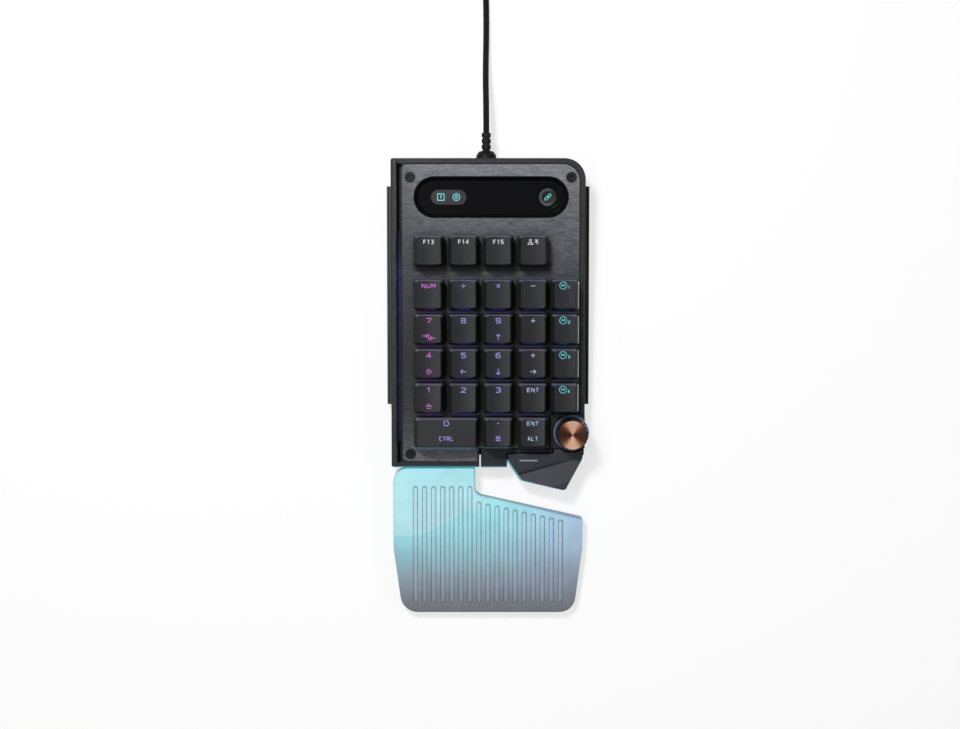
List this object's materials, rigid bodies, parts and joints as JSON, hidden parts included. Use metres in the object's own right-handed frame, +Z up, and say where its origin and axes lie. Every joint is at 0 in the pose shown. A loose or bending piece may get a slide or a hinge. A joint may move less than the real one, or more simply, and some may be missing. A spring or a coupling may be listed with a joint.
{
  "type": "one-handed gaming keypad",
  "caption": "One-handed gaming keypad: a tilted numeric key field with macro column, rotary knob, thumb paddle, lit edges and a detachable ribbed wrist rest.",
  "frame": {"origin": "on the desk, under the middle of the keypad with its wrist rest on; the cable isn't counted", "axes": "+X to the user's right, +Y from the wrist rest to the cable end, +Z up from the desk"},
  "size_m": [0.1261, 0.4271, 0.0362],
  "materials": {
    "keycap": "fine matt grain, charcoal",
    "plate": "dark anodised, brushed across",
    "case": "matt black",
    "trim": "satin grey",
    "left_light": "frosted light guide, lit purple",
    "front_light": "frosted light guide, lit cyan",
    "rim_light": "frosted light guide, lit cyan to purple",
    "rail": "matt black",
    "screw": "blackened steel",
    "tray": "gloss black",
    "lens": "smoked, translucent",
    "button": "satin black",
    "paddle": "matt dark grey",
    "knob": "matt black",
    "copper": "copper colour, brushed round",
    "steel": "bright",
    "encoder": "zinc plated",
    "switch": "matt black",
    "board": "solder mask",
    "rest": "soft-touch coat",
    "rest_base": "matt black",
    "foot": "matt",
    "relief": "matt",
    "braid": "braided",
    "tie": "moulded strap",
    "plug": "matt"
  },
  "bodies": {
    "keypad": {"top_plate": "plate", "upper_case": "case", "bottom_case": "case", "thumb_module_shell": "case", "left_side_trim": "trim", "left_light_bar": "left_light", "front_light_bar": "front_light", "paddle_light_rim": "rim_light", "side_rails": "rail", "plate_screws": "screw", "module_screws": "screw", "display_tray": "tray", "indicator_lens": "lens", "knob_collar": "knob", "usb_shell": "steel", "encoder_housing": "encoder", "switch_housings": "switch", "paddle_switch": "switch", "circuit_board": "board", "case_feet": "foot", "strain_relief": "relief", "cable": "braid", "cable_coil": "braid", "cable_tie": "tie", "usb_overmould": "plug"},
    "key_f13": {"key_f13": "keycap"},
    "key_f14": {"key_f14": "keycap"},
    "key_f15": {"key_f15": "keycap"},
    "key_profile": {"key_profile": "keycap"},
    "key_num": {"key_num": "keycap"},
    "key_divide": {"key_divide": "keycap"},
    "key_multiply": {"key_multiply": "keycap"},
    "key_minus": {"key_minus": "keycap"},
    "key_m1": {"key_m1": "keycap"},
    "key_7": {"key_7": "keycap"},
    "key_8": {"key_8": "keycap"},
    "key_9": {"key_9": "keycap"},
    "key_plus_upper": {"key_plus_upper": "keycap"},
    "key_m2": {"key_m2": "keycap"},
    "key_4": {"key_4": "keycap"},
    "key_5": {"key_5": "keycap"},
    "key_6": {"key_6": "keycap"},
    "key_plus_lower": {"key_plus_lower": "keycap"},
    "key_m3": {"key_m3": "keycap"},
    "key_1": {"key_1": "keycap"},
    "key_2": {"key_2": "keycap"},
    "key_3": {"key_3": "keycap"},
    "key_enter_upper": {"key_enter_upper": "keycap"},
    "key_m4": {"key_m4": "keycap"},
    "key_0": {"key_0": "keycap"},
    "key_decimal": {"key_decimal": "keycap"},
    "key_enter_lower": {"key_enter_lower": "keycap"},
    "paddle": {"thumb_paddle": "paddle"},
    "mode_button": {"mode_button": "button"},
    "knob": {"knob_body": "knob", "knob_cap": "copper", "encoder_shaft": "steel"},
    "rest": {"wrist_rest": "rest", "rest_base": "rest_base", "rest_feet": "foot"}
  },
  "joints": [
    {"name": "rest_pull", "type": "slide", "parent": "keypad", "child": "rest", "axis": [0, -1, 0], "range_m": [0, 0.03]},
    {"name": "paddle_press", "type": "slide", "parent": "keypad", "child": "paddle", "axis": [0, 0.0698, -0.9976], "range_m": [0, 0.0015], "stiffness_N_per_m": 200, "springref_m": -0.003},
    {"name": "mode_button_press", "type": "slide", "parent": "keypad", "child": "mode_button", "axis": [0, 0.0698, -0.9976], "range_m": [0, 0.0005], "stiffness_N_per_m": 400, "springref_m": -0.0015},
    {"name": "knob_turn", "type": "hinge", "parent": "keypad", "child": "knob", "pos_m": [0.0465, -0.02636, 0.01936], "axis": [0, -0.0698, 0.9976], "continuous": true},
    {"name": "key_f13_press", "type": "slide", "parent": "keypad", "child": "key_f13", "axis": [0, 0.0698, -0.9976], "range_m": [0, 0.0035], "stiffness_N_per_m": 100, "springref_m": -0.004},
    {"name": "key_f14_press", "type": "slide", "parent": "keypad", "child": "key_f14", "axis": [0, 0.0698, -0.9976], "range_m": [0, 0.0035], "stiffness_N_per_m": 100, "springref_m": -0.004},
    {"name": "key_f15_press", "type": "slide", "parent": "keypad", "child": "key_f15", "axis": [0, 0.0698, -0.9976], "range_m": [0, 0.0035], "stiffness_N_per_m": 100, "springref_m": -0.004},
    {"name": "key_profile_press", "type": "slide", "parent": "keypad", "child": "key_profile", "axis": [0, 0.0698, -0.9976], "range_m": [0, 0.0035], "stiffness_N_per_m": 100, "springref_m": -0.004},
    {"name": "key_num_press", "type": "slide", "parent": "keypad", "child": "key_num", "axis": [0, 0.0698, -0.9976], "range_m": [0, 0.0035], "stiffness_N_per_m": 100, "springref_m": -0.004},
    {"name": "key_divide_press", "type": "slide", "parent": "keypad", "child": "key_divide", "axis": [0, 0.0698, -0.9976], "range_m": [0, 0.0035], "stiffness_N_per_m": 100, "springref_m": -0.004},
    {"name": "key_multiply_press", "type": "slide", "parent": "keypad", "child": "key_multiply", "axis": [0, 0.0698, -0.9976], "range_m": [0, 0.0035], "stiffness_N_per_m": 100, "springref_m": -0.004},
    {"name": "key_minus_press", "type": "slide", "parent": "keypad", "child": "key_minus", "axis": [0, 0.0698, -0.9976], "range_m": [0, 0.0035], "stiffness_N_per_m": 100, "springref_m": -0.004},
    {"name": "key_m1_press", "type": "slide", "parent": "keypad", "child": "key_m1", "axis": [0, 0.0698, -0.9976], "range_m": [0, 0.0035], "stiffness_N_per_m": 100, "springref_m": -0.004},
    {"name": "key_7_press", "type": "slide", "parent": "keypad", "child": "key_7", "axis": [0, 0.0698, -0.9976], "range_m": [0, 0.0035], "stiffness_N_per_m": 100, "springref_m": -0.004},
    {"name": "key_8_press", "type": "slide", "parent": "keypad", "child": "key_8", "axis": [0, 0.0698, -0.9976], "range_m": [0, 0.0035], "stiffness_N_per_m": 100, "springref_m": -0.004},
    {"name": "key_9_press", "type": "slide", "parent": "keypad", "child": "key_9", "axis": [0, 0.0698, -0.9976], "range_m": [0, 0.0035], "stiffness_N_per_m": 100, "springref_m": -0.004},
    {"name": "key_plus_upper_press", "type": "slide", "parent": "keypad", "child": "key_plus_upper", "axis": [0, 0.0698, -0.9976], "range_m": [0, 0.0035], "stiffness_N_per_m": 100, "springref_m": -0.004},
    {"name": "key_m2_press", "type": "slide", "parent": "keypad", "child": "key_m2", "axis": [0, 0.0698, -0.9976], "range_m": [0, 0.0035], "stiffness_N_per_m": 100, "springref_m": -0.004},
    {"name": "key_4_press", "type": "slide", "parent": "keypad", "child": "key_4", "axis": [0, 0.0698, -0.9976], "range_m": [0, 0.0035], "stiffness_N_per_m": 100, "springref_m": -0.004},
    {"name": "key_5_press", "type": "slide", "parent": "keypad", "child": "key_5", "axis": [0, 0.0698, -0.9976], "range_m": [0, 0.0035], "stiffness_N_per_m": 100, "springref_m": -0.004},
    {"name": "key_6_press", "type": "slide", "parent": "keypad", "child": "key_6", "axis": [0, 0.0698, -0.9976], "range_m": [0, 0.0035], "stiffness_N_per_m": 100, "springref_m": -0.004},
    {"name": "key_plus_lower_press", "type": "slide", "parent": "keypad", "child": "key_plus_lower", "axis": [0, 0.0698, -0.9976], "range_m": [0, 0.0035], "stiffness_N_per_m": 100, "springref_m": -0.004},
    {"name": "key_m3_press", "type": "slide", "parent": "keypad", "child": "key_m3", "axis": [0, 0.0698, -0.9976], "range_m": [0, 0.0035], "stiffness_N_per_m": 100, "springref_m": -0.004},
    {"name": "key_1_press", "type": "slide", "parent": "keypad", "child": "key_1", "axis": [0, 0.0698, -0.9976], "range_m": [0, 0.0035], "stiffness_N_per_m": 100, "springref_m": -0.004},
    {"name": "key_2_press", "type": "slide", "parent": "keypad", "child": "key_2", "axis": [0, 0.0698, -0.9976], "range_m": [0, 0.0035], "stiffness_N_per_m": 100, "springref_m": -0.004},
    {"name": "key_3_press", "type": "slide", "parent": "keypad", "child": "key_3", "axis": [0, 0.0698, -0.9976], "range_m": [0, 0.0035], "stiffness_N_per_m": 100, "springref_m": -0.004},
    {"name": "key_enter_upper_press", "type": "slide", "parent": "keypad", "child": "key_enter_upper", "axis": [0, 0.0698, -0.9976], "range_m": [0, 0.0035], "stiffness_N_per_m": 100, "springref_m": -0.004},
    {"name": "key_m4_press", "type": "slide", "parent": "keypad", "child": "key_m4", "axis": [0, 0.0698, -0.9976], "range_m": [0, 0.0035], "stiffness_N_per_m": 100, "springref_m": -0.004},
    {"name": "key_0_press", "type": "slide", "parent": "keypad", "child": "key_0", "axis": [0, 0.0698, -0.9976], "range_m": [0, 0.0035], "stiffness_N_per_m": 100, "springref_m": -0.004},
    {"name": "key_decimal_press", "type": "slide", "parent": "keypad", "child": "key_decimal", "axis": [0, 0.0698, -0.9976], "range_m": [0, 0.0035], "stiffness_N_per_m": 100, "springref_m": -0.004},
    {"name": "key_enter_lower_press", "type": "slide", "parent": "keypad", "child": "key_enter_lower", "axis": [0, 0.0698, -0.9976], "range_m": [0, 0.0035], "stiffness_N_per_m": 100, "springref_m": -0.004}
  ]
}
